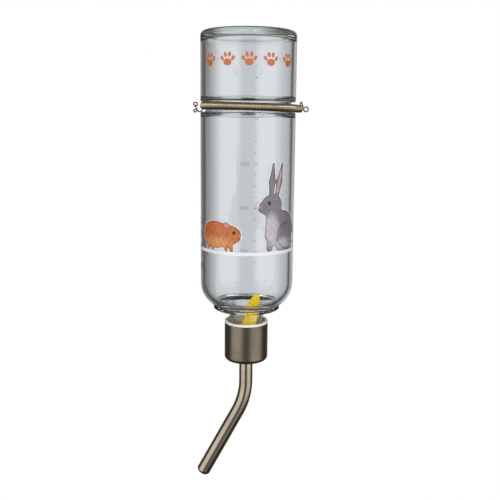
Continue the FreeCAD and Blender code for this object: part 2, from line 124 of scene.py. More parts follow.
def srgb(red: int, green: int, blue: int) -> Colour:
    """Turns a 0-255 display colour into the linear one that shaders take."""
    def linear(value: int) -> float:
        """One channel made linear."""
        part = value / 255
        return part / 12.92 if part <= 0.04045 else ((part + 0.055) / 1.055) ** 2.4

    return linear(red), linear(green), linear(blue)


# ---------------------------------------------------------------- shader building


class Graph:
    """A thin helper that adds and links the nodes of one node tree."""

    def __init__(self, tree: Tree) -> None:
        """Keeps the tree that nodes are added to."""
        self.tree = tree

    def add(self, kind: str, settings: dict | None = None, **inputs: object) -> Node:
        """Adds a node, sets its properties and its input sockets.

        Args:
            kind: node type without the ShaderNode prefix.
            settings: properties of the node itself.
            inputs: socket names with spaces as underscores, each a value or an output socket.

        Returns:
            The new node.
        """
        node = self.tree.nodes.new("ShaderNode" + kind)
        for name, value in (settings or {}).items():
            setattr(node, name, value)
        for name, value in inputs.items():
            self.feed(node, name.replace("_", " "), value)
        return node

    def feed(self, node: Node, name: str | int, value: object) -> None:
        """Gives one input socket a value, or a link when the value is an output socket."""
        socket = node.inputs[name]
        if isinstance(value, Socket):
            self.tree.links.new(value, socket)
            return
        if socket.type == "RGBA" and len(value) == 3:
            value = (*value, 1.0)
        socket.default_value = value

    def math(self, operation: str, first: object, second: object = 0.0) -> Socket:
        """A math node on one or two values or sockets."""
        node = self.add("Math", {"operation": operation})
        self.feed(node, 0, first)
        self.feed(node, 1, second)
        return node.outputs[0]

    def remap(self, value: object, low: float, high: float, to_low: float, to_high: float) -> Socket:
        """Maps a value from one range to another, held inside the new range."""
        node = self.add("MapRange", {"clamp": True})
        for index, item in enumerate((value, low, high, to_low, to_high)):
            self.feed(node, index, item)
        return node.outputs[0]

    def blend(self, share: object, first: object, second: object, kind: str = "MIX") -> Socket:
        """Mixes two colours by a share."""
        node = self.add("Mix", {"data_type": "RGBA", "blend_type": kind})
        self.feed(node, 0, share)
        self.feed(node, 6, first)
        self.feed(node, 7, second)
        return node.outputs[2]


class EffectGroups:
    """Node groups for surface effects that several finishes share."""

    def __init__(self) -> None:
        """Starts with no group built."""
        self.built: dict[str, Tree] = {}

    def start(self, name: str, inputs: dict[str, float], outputs: dict[str, str]) -> tuple[Graph, Node]:
        """Makes an empty group with its sockets.

        Args:
            name: the group's name.
            inputs: float inputs with their default values.
            outputs: output names with their socket types.

        Returns:
            The group's graph and its input node.
        """
        tree = bpy.data.node_groups.new(name, "ShaderNodeTree")
        for label, value in inputs.items():
            socket = tree.interface.new_socket(label, in_out="INPUT", socket_type="NodeSocketFloat")
            socket.default_value = value
        for label, kind in outputs.items():
            tree.interface.new_socket(label, in_out="OUTPUT", socket_type=kind)
        self.built[name] = tree
        return Graph(tree), tree.nodes.new("NodeGroupInput")

    def end(self, graph: Graph, results: dict[str, Socket]) -> Tree:
        """Links the results to the group's outputs."""
        out = graph.tree.nodes.new("NodeGroupOutput")
        for label, socket in results.items():
            graph.tree.links.new(socket, out.inputs[label])
        return graph.tree

    def scratches(self) -> Tree:
        """Fine scratches that run across or along the object's upright axis."""
        if "Fine scratches" in self.built:
            return self.built["Fine scratches"]
        inputs = {"Across": 300.0, "Along": 9000.0, "Contrast": 0.5}
        outputs = {"Height": "NodeSocketFloat", "Tone": "NodeSocketFloat"}
        graph, given = self.start("Fine scratches", inputs, outputs)
        place = graph.add("TexCoord").outputs["Object"]
        scale = graph.add("CombineXYZ")
        for axis, source in (("X", "Across"), ("Y", "Across"), ("Z", "Along")):
            graph.feed(scale, axis, given.outputs[source])
        stretched = graph.add("VectorMath", {"operation": "MULTIPLY"})
        graph.feed(stretched, 0, place)
        graph.feed(stretched, 1, scale.outputs[0])
        fine = graph.add("TexNoise", Vector=stretched.outputs[0], Scale=1.0, Detail=4.0, Roughness=0.7)
        spread = graph.math("SUBTRACT", fine.outputs[0], 0.5)
        tone = graph.math("ADD", graph.math("MULTIPLY", spread, given.outputs["Contrast"]), 1.0)
        return self.end(graph, {"Height": fine.outputs[0], "Tone": tone})

    def smudges(self) -> Tree:
        """Soft blotches from handling, as an amount to add to roughness and a colour share."""
        if "Handling smudges" in self.built:
            return self.built["Handling smudges"]
        inputs = {"Size": 60.0, "Amount": 0.08}
        outputs = {"Roughness": "NodeSocketFloat", "Share": "NodeSocketFloat"}
        graph, given = self.start("Handling smudges", inputs, outputs)
        place = graph.add("TexCoord").outputs["Object"]
        broad = graph.add("TexNoise", Vector=place, Scale=given.outputs["Size"], Detail=5.0, Roughness=0.6)
        share = graph.remap(broad.outputs[0], 0.4, 0.72, 0.0, 1.0)
        rougher = graph.math("MULTIPLY", share, given.outputs["Amount"])
        return self.end(graph, {"Roughness": rougher, "Share": share})

    def pits(self) -> Tree:
        """Fine even texture of a moulded or rubber surface."""
        if "Moulded pits" in self.built:
            return self.built["Moulded pits"]
        inputs = {"Size": 2500.0}
        graph, given = self.start("Moulded pits", inputs, {"Height": "NodeSocketFloat"})
        place = graph.add("TexCoord").outputs["Object"]
        grain = graph.add("TexNoise", Vector=place, Scale=given.outputs["Size"], Detail=3.0, Roughness=0.55)
        return self.end(graph, {"Height": grain.outputs[0]})

    def hair(self) -> Tree:
        """Short drawn hair strokes for the printed animals."""
        if "Hair strokes" in self.built:
            return self.built["Hair strokes"]
        inputs = {"Fine": 1500.0, "Long": 260.0}
        graph, given = self.start("Hair strokes", inputs, {"Tone": "NodeSocketFloat"})
        place = graph.add("TexCoord").outputs["Object"]
        warp = graph.add("TexNoise", Vector=place, Scale=140.0, Detail=2.0)
        pushed = graph.add("VectorMath", {"operation": "MULTIPLY_ADD"})
        graph.feed(pushed, 0, warp.outputs["Color"])
        graph.feed(pushed, 1, (0.006, 0.006, 0.006))
        graph.feed(pushed, 2, place)
        scale = graph.add("CombineXYZ")
        for axis, source in (("X", "Fine"), ("Y", "Fine"), ("Z", "Long")):
            graph.feed(scale, axis, given.outputs[source])
        stretched = graph.add("VectorMath", {"operation": "MULTIPLY"})
        graph.feed(stretched, 0, pushed.outputs[0])
        graph.feed(stretched, 1, scale.outputs[0])
        stroke = graph.add("TexNoise", Vector=stretched.outputs[0], Scale=1.0, Detail=3.0, Roughness=0.6)
        return self.end(graph, {"Tone": graph.remap(stroke.outputs[0], 0.3, 0.7, 0.0, 1.0)})


EFFECTS = EffectGroups()


def new_material(name: str) -> tuple[Material, Graph, Node]:
    """An empty material with its graph and its Principled shader."""
    material = bpy.data.materials.new(name)
    material.use_nodes = True
    graph = Graph(material.node_tree)
    shader = next(node for node in graph.tree.nodes if node.type == "BSDF_PRINCIPLED")
    return material, graph, shader


def use_group(graph: Graph, tree: Tree, **inputs: float) -> Node:
    """Places a shared effect group in a material with its own values."""
    node = graph.add("Group", {"node_tree": tree})
    for name, value in inputs.items():
        graph.feed(node, name, value)
    return node


def add_bump(graph: Graph, shader: Node, height: Socket, depth: float) -> None:
    """Feeds a height into the shader's normal as a shallow bump, depth in metres."""
    bump = graph.add("Bump", Height=height, Distance=depth, Strength=1.0)
    graph.feed(shader, "Normal", bump.outputs[0])


# ---------------------------------------------------------------- finishes


@dataclass(frozen=True)
class GlassFinish:
    """Clear moulded glass with faint waves from the mould."""

    name: str
    index: float = 1.5
    edge_colour: Colour = (0.72, 0.86, 0.74)
    edge_density: float = 6.5
    wave: float = 0.00012

    def make(self) -> Material:
        """Builds the glass material."""
        material, graph, shader = new_material(self.name)
        graph.feed(shader, "Base Color", (1.0, 1.0, 1.0))
        graph.feed(shader, "Roughness", 0.0)
        graph.feed(shader, "IOR", self.index)
        graph.feed(shader, "Transmission Weight", 1.0)
        place = graph.add("TexCoord").outputs["Object"]
        stretched = graph.add("VectorMath", {"operation": "MULTIPLY"})
        graph.feed(stretched, 0, place)
        graph.feed(stretched, 1, (70.0, 70.0, 9.0))
        waves = graph.add("TexNoise", Vector=stretched.outputs[0], Scale=1.0, Detail=1.5, Roughness=0.4)
        add_bump(graph, shader, waves.outputs[0], self.wave)
        tint = graph.add("VolumeAbsorption", Color=self.edge_colour, Density=self.edge_density)
        output = next(node for node in graph.tree.nodes if node.type == "OUTPUT_MATERIAL")
        graph.tree.links.new(tint.outputs[0], output.inputs["Volume"])
        return material


@dataclass(frozen=True)
class MetalFinish:
    """Bare or plated metal with fine scratches and handling smudges."""

    name: str
    colour: Colour
    roughness: float
    grain: Grain
    scratch: float = 0.000004
    contrast: float = 0.35
    smudge: float = 0.08

    def make(self) -> Material:
        """Builds the metal material."""
        material, graph, shader = new_material(self.name)
        across, along = (260.0, 9000.0) if self.grain is Grain.ROUND else (5200.0, 220.0)
        lines = use_group(graph, EFFECTS.scratches(), Across=across, Along=along, Contrast=self.contrast)
        marks = use_group(graph, EFFECTS.smudges(), Size=70.0, Amount=self.smudge)
        tone = graph.add("CombineColor")
        for channel in range(3):
            graph.feed(tone, channel, lines.outputs["Tone"])
        scratched = graph.blend(1.0, self.colour, tone.outputs[0], "MULTIPLY")
        duller = tuple(part * 0.82 for part in self.colour)
        graph.feed(shader, "Base Color", graph.blend(marks.outputs["Share"], scratched, duller))
        graph.feed(shader, "Metallic", 1.0)
        graph.feed(shader, "Roughness", graph.math("ADD", marks.outputs["Roughness"], self.roughness))
        add_bump(graph, shader, lines.outputs["Height"], self.scratch)
        return material


@dataclass(frozen=True)
class MouldedFinish:
    """Moulded plastic or rubber with a fine even texture."""

    name: str
    colour: Colour
    shade: Colour
    roughness: float
    pit_size: float = 2500.0
    pit_depth: float = 0.00001
    coat: float = 0.0
    subsurface: float = 0.0
    # share of its own colour that the plastic gives off as a painted glow, brightening it beyond the light
    # that reaches it
    glow: float = 0.0

    def make(self) -> Material:
        """Builds the plastic or rubber material."""
        material, graph, shader = new_material(self.name)
        pits = use_group(graph, EFFECTS.pits(), Size=self.pit_size)
        marks = use_group(graph, EFFECTS.smudges(), Size=90.0, Amount=0.12)
        mixed = graph.blend(marks.outputs["Share"], self.colour, self.shade)
        graph.feed(shader, "Base Color", mixed)
        graph.feed(shader, "Roughness", graph.math("ADD", marks.outputs["Roughness"], self.roughness))
        # painted glow: the plastic gives off light in its own colour, by the glow share
        graph.feed(shader, "Emission Color", mixed)
        graph.feed(shader, "Emission Strength", self.glow)
        graph.feed(shader, "Coat Weight", self.coat)
        graph.feed(shader, "Subsurface Weight", self.subsurface)
        graph.feed(shader, "Subsurface Scale", 0.001)
        add_bump(graph, shader, pits.outputs["Height"], self.pit_depth)
        return material


@dataclass(frozen=True)
class PrintFinish:
    """Fired print on glass whose colours were painted into the mesh."""

    name: str
    stroke: float = 0.5
    roughness: float = 0.32

    def make(self) -> Material:
        """Builds the ink material."""
        material, graph, shader = new_material(self.name)
        ink = graph.add("Attribute", {"attribute_name": Transfer.COLOUR_NAME})
        hair = use_group(graph, EFFECTS.hair())
        tone = graph.remap(hair.outputs["Tone"], 0.0, 1.0, 1.0 - self.stroke, 1.0 + self.stroke * 0.6)
        grey = graph.add("CombineColor")
        for channel in range(3):
            graph.feed(grey, channel, tone)
        graph.feed(shader, "Base Color", graph.blend(1.0, ink.outputs["Color"], grey.outputs[0], "MULTIPLY"))
        graph.feed(shader, "Roughness", self.roughness)
        pits = use_group(graph, EFFECTS.pits(), Size=1800.0)
        add_bump(graph, shader, pits.outputs["Height"], 0.000006)
        return material


# ---------------------------------------------------------------- mesh building


def new_piece(
    name: str, points: Sequence, faces: Sequence, material: Material, smooth: bool = True
) -> Piece:
    """Makes a mesh object from points in millimetres.

    Args:
        name: the piece's name.
        points: corner positions in millimetres.
        faces: corner indices of each face.
        material: the piece's finish.
        smooth: whether the faces are shaded smoothly.

    Returns:
        The new object, linked into the scene.
    """
    mesh = bpy.data.meshes.new(name)
    corners = [tuple(float(part) * MILLI for part in point) for point in points]
    mesh.from_pydata(corners, [], [tuple(face) for face in faces])
    mesh.polygons.foreach_set("use_smooth", [smooth] * len(mesh.polygons))
    mesh.materials.append(material)
    mesh.update()
    piece = bpy.data.objects.new(name, mesh)
    bpy.context.scene.collection.objects.link(piece)
    return piece


def tube_along(path: np.ndarray, radius: float, sides: int) -> tuple[np.ndarray, list[tuple[int, ...]]]:
    """Sweeps a circle along a path with frames that don't twist.

    Args:
        path: points of the centreline.
        radius: radius of the tube.
        sides: corners of each ring.

    Returns:
        Corner points and faces, with flat ends.
    """
    heading = np.gradient(path, axis=0)
    heading /= np.linalg.norm(heading, axis=1)[:, None]
    helper = np.array([0.0, 0.0, 1.0]) if abs(heading[0][2]) < 0.9 else np.array([1.0, 0.0, 0.0])
    side = np.cross(heading[0], helper)
    side /= np.linalg.norm(side)
    turns = np.linspace(0, 2 * np.pi, sides, endpoint=False)
    rings = []
    for point, ahead in zip(path, heading):
        side = side - ahead * side.dot(ahead)
        side /= np.linalg.norm(side)
        up = np.cross(ahead, side)
        rings.append(point + radius * (np.cos(turns)[:, None] * side + np.sin(turns)[:, None] * up))
    faces = []
    for ring in range(len(path) - 1):
        for turn in range(sides):
            after = (turn + 1) % sides
            low, high = ring * sides, (ring + 1) * sides
            faces.append((low + turn, low + after, high + after, high + turn))
    faces.append(tuple(reversed(range(sides))))
    faces.append(tuple(range((len(path) - 1) * sides, len(path) * sides)))
    return np.concatenate(rings), faces


def smooth_path(knots: np.ndarray, steps: int) -> np.ndarray:
    """A Catmull-Rom curve through its knots.

    Args:
        knots: points that the curve passes through.
        steps: pieces between two knots.

    Returns:
        Points along the curve.
    """
    padded = np.vstack([2 * knots[0] - knots[1], knots, 2 * knots[-1] - knots[-2]])
    share = np.linspace(0, 1, steps, endpoint=False)[:, None]
    runs = []
    for before, start, end, after in zip(padded, padded[1:], padded[2:], padded[3:]):
        runs.append(
            0.5
            * (
                2 * start
                + (end - before) * share
                + (2 * before - 5 * start + 4 * end - after) * share**2
                + (3 * start - before - 3 * end + after) * share**3
            )
        )
    return np.vstack(runs + [knots[-1:]])


# ---------------------------------------------------------------- holding spring


@dataclass
class HoldingSpring:
    """Close-wound spring round the front of the groove, with a formed hook at each end."""

    lay_radius: float = 33.75
    coil_radius: float = 2.35
    wire_radius: float = 0.45
    pitch: float = 0.93
    left_angle: float = 204.0
    right_angle: float = 338.0
    left_tail: float = 1.2
    right_tail: float = 15.4
    tilt: float = 1.25
    drop: float = 0.8
    stretch_left: float = 12.0
    stretch_right: float = 26.0
    steps: int = 22
    sides: int = 8

    def length(self) -> float:
        """Length of the coil's centreline in millimetres."""
        return self.left_tail + self.arc_length() + self.right_tail

    def arc_length(self) -> float:
        """Length of the part that lies in the groove."""
        return math.radians(self.right_angle - self.left_angle) * self.lay_radius

    def centre(self, along: Field) -> tuple[Field, Field]:
        """Centreline points and headings in the spring's own plane.

        Args:
            along: distances from the left end.

        Returns:
            Points and unit headings.
        """
        arc = along - self.left_tail
        angle = np.radians(self.left_angle) + np.clip(arc, 0, self.arc_length()) / self.lay_radius
        extra = np.minimum(arc, 0) + np.maximum(arc - self.arc_length(), 0)
        heading = np.stack([-np.sin(angle), np.cos(angle), np.zeros_like(angle)], 1)
        out = np.stack([np.cos(angle), np.sin(angle), np.zeros_like(angle)], 1)
        return out * self.lay_radius + heading * extra[:, None], heading

    def tilted(self, points: np.ndarray) -> np.ndarray:
        """Moves points from the spring's plane into the row frame."""
        along, across = math.cos(math.radians(self.tilt)), math.sin(math.radians(self.tilt))
        turn = np.array([[along, 0, across], [0, 1, 0], [-across, 0, along]])
        return points @ turn.T + np.array([0, 0, -self.drop])

    def wound(self, start: float, end: float) -> np.ndarray:
        """Centreline of the wire between two distances along the spring.

        Args:
            start: distance from the left end where the piece begins.
            end: distance from the left end where the piece ends.

        Returns:
            Points of the wire's centreline in the row frame.
        """
        count = max(2, int(round((end - start) / self.pitch * self.steps)) + 1)
        along = np.linspace(start, end, count)
        point, heading = self.centre(along)
        up = np.array([0.0, 0.0, 1.0])
        out = np.cross(heading, up)
        turn = 2 * np.pi * (self.length() - along) / self.pitch + np.pi / 2
        offset = out * np.cos(turn)[:, None] + up * np.sin(turn)[:, None]
        return self.tilted(point + offset * self.coil_radius)

    def coil_piece(self, name: str, start: float, end: float, material: Material) -> Piece:
        """One stretch of the coil as its own piece."""
        points, faces = tube_along(self.wound(start, end), self.wire_radius, self.sides)
        piece = new_piece(name, points, faces, material)
        return piece

    def build(self, material: Material, hook_material: Material) -> list[Piece]:
        """Builds the coil in three stretches and both hooks.

        Args:
            material: the coil's finish.
            hook_material: the formed ends' finish, a darker copy of the coil's finish with painted shade.

        Returns:
            The new pieces.
        """
        length = self.length()
        left_end, right_start = self.stretch_left, length - self.stretch_right
        left = self.coil_piece("spring_left_turns", 0.0, left_end, material)
        middle = self.coil_piece("spring_middle_turns", left_end, right_start, material)
        right = self.coil_piece("spring_right_turns", right_start, length, material)
        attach(middle, "spring")
        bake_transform(left)
        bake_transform(right)
        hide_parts("spring_coil")
        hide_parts("spring_coil")
        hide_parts("spring_coil")
        hooks = [EndHook(self, side).build(hook_material) for side in Side]
        return [left, middle, right, *hooks]


@dataclass
class EndHook:
    """The formed wire at one end of the spring, in a plane that faces the front."""

    spring: HoldingSpring
    side: Side
    gap: float = 0.5
    steps: int = 7
    sides: int = 12
    # (outward, up, forward) in millimetres from the middle of the coil's end
    left_knots: tuple[tuple[float, float, float], ...] = (
        (0.0, -2.35, 0.0), (0.8, -3.5, 0.0), (1.7, -4.35, 0.0), (2.8, -4.25, 0.05), (3.9, -3.4, 0.2),
        (4.9, -2.75, 0.45), (6.05, -3.0, 0.5), (6.55, -3.85, 0.35), (5.9, -4.6, 0.05), (4.95, -4.45, -0.25),
        (4.5, -3.6, -0.45), (4.7, -2.4, -0.45), (5.2, -1.2, -0.35), (6.15, -0.35, -0.15), (6.7, 0.65, 0.0),
        (6.35, 1.65, 0.1), (5.4, 1.95, 0.15),
        (4.25, 1.5, 0.2), (3.85, 0.5, 0.3), (4.5, -0.25, 0.4), (5.5, 0.1, 0.5),
    )
    right_knots: tuple[tuple[float, float, float], ...] = (
        (0.0, 2.35, 0.0), (0.08, 3.3, 0.0), (0.2, 4.2, 0.0), (0.62, 4.68, 0.0), (1.1, 4.35, 0.0),
        (1.75, 2.6, 0.0), (2.35, 0.8, 0.0), (2.95, -0.8, 0.0), (3.6, -1.68, 0.0), (4.6, -1.93, 0.0),
        (5.6, -1.58, 0.0), (6.15, -0.7, 0.0),
        (6.15, 0.3, 0.0), (5.65, 1.1, 0.0), (4.7, 1.45, 0.0), (3.85, 1.3, 0.0), (3.2, 0.7, 0.2),
    )
    left_swing: float = 56.0
    right_swing: float = -53.0

    def build(self, material: Material) -> Piece:
        """Builds the hook's wire and puts it on its own body.

        Args:
            material: the wire's finish, darker than the coil's as painted shade.

        Returns:
            The new piece.
        """
        spring = self.spring
        at_left = self.side is Side.LEFT
        point, heading = spring.centre(np.array([0.0 if at_left else spring.length()]))
        ahead = heading[0] * (-1 if at_left else 1)
        swing = math.radians(self.left_swing if at_left else self.right_swing)
        along, across = math.cos(swing), math.sin(swing)
        turn = np.array([[along, -across, 0], [across, along, 0], [0, 0, 1]])
        outward = turn @ ahead
        up = np.array([0.0, 0.0, 1.0])
        forward = np.cross(outward, up) * (-1 if at_left else 1)
        knots = np.array(self.left_knots if at_left else self.right_knots)
        start = point[0] + ahead * self.gap
        wire = start + knots[:, :1] * outward + knots[:, 1:2] * up + knots[:, 2:] * forward
        path = spring.tilted(smooth_path(wire, self.steps))
        points, faces = tube_along(path, spring.wire_radius, self.sides)
        piece = new_piece(f"{self.side.value}_shaded_hook_wire", points, faces, material)
        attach(piece, f"{self.side.value}_end")
        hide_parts(f"{self.side.value}_end_hook")
        return piece


# ---------------------------------------------------------------- print on the glass


def ellipse(across: Field, up: Field, centre: Spot, radii: Spot, lean: float = 0.0) -> Field:
    """Rough signed distance to an ellipse, negative inside.

    Args:
        across: distances round the glass.
        up: heights.
        centre: the ellipse's middle.
        radii: half its width and half its height.
        lean: its turn in degrees, clockwise.

    Returns:
        The distance at each point.
    """
    turn = math.radians(lean)
    right, high = across - centre[0], up - centre[1]
    first = (right * math.cos(turn) - high * math.sin(turn)) / radii[0]
    second = (right * math.sin(turn) + high * math.cos(turn)) / radii[1]
    return (np.hypot(first, second) - 1) * min(radii)


def limb(across: Field, up: Field, start: Spot, end: Spot, wide: float, narrow: float) -> Field:
    """Signed distance to a tapering round-ended limb between two points."""
    run = np.array(end) - np.array(start)
    share = ((across - start[0]) * run[0] + (up - start[1]) * run[1]) / float(run @ run)
    share = np.clip(share, 0, 1)
    reach = np.hypot(across - start[0] - share * run[0], up - start[1] - share * run[1])
    return reach - (wide + (narrow - wide) * share)


def merge(*shapes: Field, soft: float = 1.2) -> Field:
    """Joins shapes with a soft crease between them."""
    joined = shapes[0]
    for shape in shapes[1:]:
        share = np.clip(0.5 + 0.5 * (shape - joined) / soft, 0, 1)
        joined = shape * (1 - share) + joined * share - soft * share * (1 - share)
    return joined


def inside(shape: Field, soft: float) -> Field:
    """How far a point is inside a shape, from 0 to 1 over a soft edge."""
    return np.clip(0.5 - shape / soft, 0, 1)


def ripple(across: Field, up: Field, seed: float) -> Field:
    """A cheap smooth wobble between -1 and 1."""
    return (
        np.sin(across * 2.1 + seed) * np.cos(up * 1.7 - seed * 2)
        + 0.6 * np.sin(across * 4.3 - up * 3.1 + seed * 3)
        + 0.4 * np.cos(across * 7.9 + up * 6.7 + seed)
    ) / 2


class Paint:
    """Layers of colour over a field of points."""

    def __init__(self, like: Field, base: Colour) -> None:
        """Starts with one colour everywhere."""
        self.colours = np.empty((*like.shape, 3))
        self.colours[:] = base

    def over(self, share: Field, colour: Colour) -> None:
        """Lays a colour over what is there, by a share at each point."""
        self.colours += share[..., None] * (np.array(colour) - self.colours)


@dataclass
class Transfer:
    """One printed motif: an outline on the glass, cut from a fine grid, with painted colours."""

    COLOUR_NAME = "Ink"

    name: str
    low: tuple[float, float]
    high: tuple[float, float]
    outline: Callable[[Field, Field], Field]
    paint: Callable[[Field, Field], Field]
    lift: float
    cell: float = 0.22

    def build(self, radius: float, material: Material) -> Piece:
        """Cuts and wraps the motif onto the glass.

        Args:
            radius: the glass's outer radius in millimetres.
            material: the ink's finish.

        Returns:
            The printed piece, riding on the bottle.
        """
        columns = np.arange(self.low[0], self.high[0] + self.cell, self.cell)
        rows = np.arange(self.low[1], self.high[1] + self.cell, self.cell)
        across, up = np.meshgrid(columns, rows)
        distance = self.outline(across, up)
        slope_up, slope_across = np.gradient(distance, self.cell)
        steep = np.maximum(np.hypot(slope_up, slope_across), 0.2) ** 2
        pull = np.where(distance > 0, np.minimum(distance, self.cell * 1.6) / steep, 0)
        across = across - pull * slope_across
        up = up - pull * slope_up
        within = distance < 0
        keep = within[:-1, :-1] | within[1:, :-1] | within[:-1, 1:] | within[1:, 1:]
        index = np.arange(across.size).reshape(across.shape)
        corners = np.stack([index[:-1, :-1], index[:-1, 1:], index[1:, 1:], index[1:, :-1]], -1)[keep]
        used, faces = np.unique(corners, return_inverse=True)
        faces = faces.reshape(corners.shape)
        flat_across, flat_up = across.ravel()[used], up.ravel()[used]
        angle = flat_across / radius
        wrapped = radius + self.lift
        points = np.stack([wrapped * np.sin(angle), -wrapped * np.cos(angle), flat_up], 1)
        piece = new_piece(self.name, points, faces, material)
        colours = self.paint(flat_across, flat_up)
        layer = piece.data.color_attributes.new(self.COLOUR_NAME, "FLOAT_COLOR", "POINT")
        layer.data.foreach_set("color", np.hstack([colours, np.ones((len(colours), 1))]).ravel())
        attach(piece, "bottle")
        return piece


@dataclass(frozen=True)
class PrintLayout:
    """Where the decoration sits on the glass, in millimetres round it and up it."""

    ground: float = -100.0
    strip: float = 2.4
    half_width: float = 48.0
    row_height: float = 30.0


LAYOUT = PrintLayout()


@dataclass
class SittingRabbit:
    """A plain grey rabbit sitting in profile, facing left."""

    grey: Colour = srgb(132, 126, 134)
    dark: Colour = srgb(62, 58, 66)
    pale: Colour = srgb(212, 208, 220)
    white: Colour = srgb(240, 238, 246)
    pink: Colour = srgb(222, 172, 176)
    eye: Colour = srgb(16, 14, 18)

    def ear(self, across: Field, up: Field, root: float, lean: float) -> Field:
        """One long upright ear, widest half way up."""
        lower = limb(across, up, (root, -62.0), (root + lean * 0.5, -51.0), 1.7, 2.7)
        upper = limb(across, up, (root + lean * 0.5, -51.0), (root + lean, -39.0), 2.7, 0.7)
        return merge(lower, upper, soft=1.0)

    def ears(self, across: Field, up: Field) -> Field:
        """Both ears."""
        return np.minimum(self.ear(across, up, 21.0, 5.0), self.ear(across, up, 16.6, 1.6))

    def legs(self, across: Field, up: Field) -> Field:
        """Foreleg and long hind foot on the ground."""
        fore = limb(across, up, (17.5, -84.0), (15.8, LAYOUT.ground + 2.4), 3.6, 2.4)
        hind = limb(across, up, (23.5, LAYOUT.ground + 2.3), (36.0, LAYOUT.ground + 2.6), 2.2, 2.6)
        return np.minimum(fore, hind)

    def tail(self, across: Field, up: Field) -> Field:
        """Round tail."""
        return ellipse(across, up, (43.2, -92.0), (3.8, 3.8))

    def head(self, across: Field, up: Field) -> Field:
        """Skull and muzzle."""
        skull = ellipse(across, up, (17.6, -67.0), (8.4, 7.2))
        muzzle = ellipse(across, up, (11.4, -69.2), (4.6, 4.0))
        return merge(skull, muzzle, soft=2.0)

    def outline(self, across: Field, up: Field) -> Field:
        """The whole animal."""
        back = ellipse(across, up, (27.0, -84.5), (13.4, 13.0))
        haunch = ellipse(across, up, (32.0, -89.5), (10.6, 10.2))
        chest = limb(across, up, (19.6, -88.0), (18.6, -74.0), 7.6, 6.0)
        whole = merge(back, haunch, chest, self.head(across, up), soft=3.0)
        whole = merge(whole, self.ears(across, up), self.legs(across, up), self.tail(across, up), soft=0.8)
        return whole + 0.14 * ripple(across * 2.4, up * 2.4, 1.0)

    def paint(self, across: Field, up: Field) -> Field:
        """Grey fur with a pale chest, belly and tail."""
        wobble = ripple(across, up, 2.0)
        paint = Paint(across, self.grey)
        for centre, radii in (((17.0, -84.0), (6.0, 10.0)), ((26.0, -95.0), (9.0, 4.0))):
            paint.over(inside(ellipse(across, up, centre, radii) + 0.6 * wobble, 4.0) * 0.8, self.pale)
        haunch = ellipse(across, up, (32.0, -89.5), (9.6, 9.2))
        paint.over(inside(np.abs(haunch) - 0.4, 1.2) * (across < 34.0) * 0.7, self.dark)
        paint.over(inside(self.tail(across, up), 0.8), self.white)
        lining = limb(across, up, (21.8, -58.0), (25.0, -44.0), 1.0, 0.7)
        paint.over(inside(lining, 1.0) * 0.9, self.pink)
        paint.over(np.clip(1 + self.outline(across, up) / 0.9, 0, 1) * 0.75, self.dark)
        paint.over(inside(ellipse(across, up, (15.2, -66.0), (1.3, 1.5)), 0.4), self.eye)
        paint.over(inside(ellipse(across, up, (7.6, -68.4), (0.9, 0.8)), 0.5), self.pink)
        return paint.colours


@dataclass
class StandingGuineaPig:
    """A plain orange-brown guinea pig in profile, facing right."""

    orange: Colour = srgb(206, 112, 52)
    amber: Colour = srgb(234, 168, 104)
    rust: Colour = srgb(118, 60, 30)
    pink: Colour = srgb(212, 156, 162)
    eye: Colour = srgb(18, 14, 14)

    def ear(self, across: Field, up: Field) -> Field:
        """One small round ear."""
        return ellipse(across, up, (-15.4, -81.6), (2.6, 2.3), 20.0)

    def outline(self, across: Field, up: Field) -> Field:
        """Body, head, ear and feet."""
        body = ellipse(across, up, (-25.0, -88.6), (13.0, 9.6))
        head = ellipse(across, up, (-12.8, -88.2), (8.2, 6.8))
        feet = [
            limb(across, up, (place, -94.0), (place + 1.6, LAYOUT.ground + 1.2), 2.4, 1.2)
            for place in (-33.0, -28.5, -17.0, -13.0)
        ]
        whole = merge(body, head, soft=3.0)
        whole = merge(whole, self.ear(across, up), *feet, soft=0.8)
        return whole + 0.24 * ripple(across * 2.2, up * 2.2, 5.0)

    def paint(self, across: Field, up: Field) -> Field:
        """Orange-brown fur, paler below."""
        wobble = ripple(across, up, 7.0)
        paint = Paint(across, self.orange)
        paint.over(inside(ellipse(across, up, (-23.0, -94.5), (12.0, 4.0)) + wobble, 4.0) * 0.7, self.amber)
        paint.over(np.clip(1 + self.outline(across, up) / 1.0, 0, 1) * 0.7, self.rust)
        paint.over(inside(self.ear(across, up) + 0.7, 0.6) * 0.9, self.pink)
        paint.over(inside(ellipse(across, up, (-9.8, -86.6), (1.1, 1.2)), 0.4), self.eye)
        paint.over(inside(ellipse(across, up, (-5.4, -88.4), (0.8, 0.7)), 0.5), self.pink)
        return paint.colours


@dataclass
class WhiteGround:
    """White underlay: a thin halo round both animals and a level strip that they stand on."""

    rabbit: SittingRabbit
    guinea_pig: StandingGuineaPig
    white: Colour = srgb(248, 248, 252)
    shade: Colour = srgb(222, 224, 236)
    halo: float = 0.5

    def outline(self, across: Field, up: Field) -> Field:
        """Strip and halo together."""
        rabbit, guinea_pig = self.rabbit.outline(across, up), self.guinea_pig.outline(across, up)
        animals = np.minimum(rabbit, guinea_pig) - self.halo
        middle = LAYOUT.ground - LAYOUT.strip / 2
        strip = np.maximum(np.abs(up - middle) - LAYOUT.strip / 2, np.abs(across) - LAYOUT.half_width)
        return np.minimum(animals, strip)

    def paint(self, across: Field, up: Field) -> Field:
        """White with a faint cool shade."""
        paint = Paint(across, self.white)
        paint.over(np.clip(0.3 + ripple(across * 0.5, up, 3.0), 0, 1) * 0.35, self.shade)
        return paint.colours


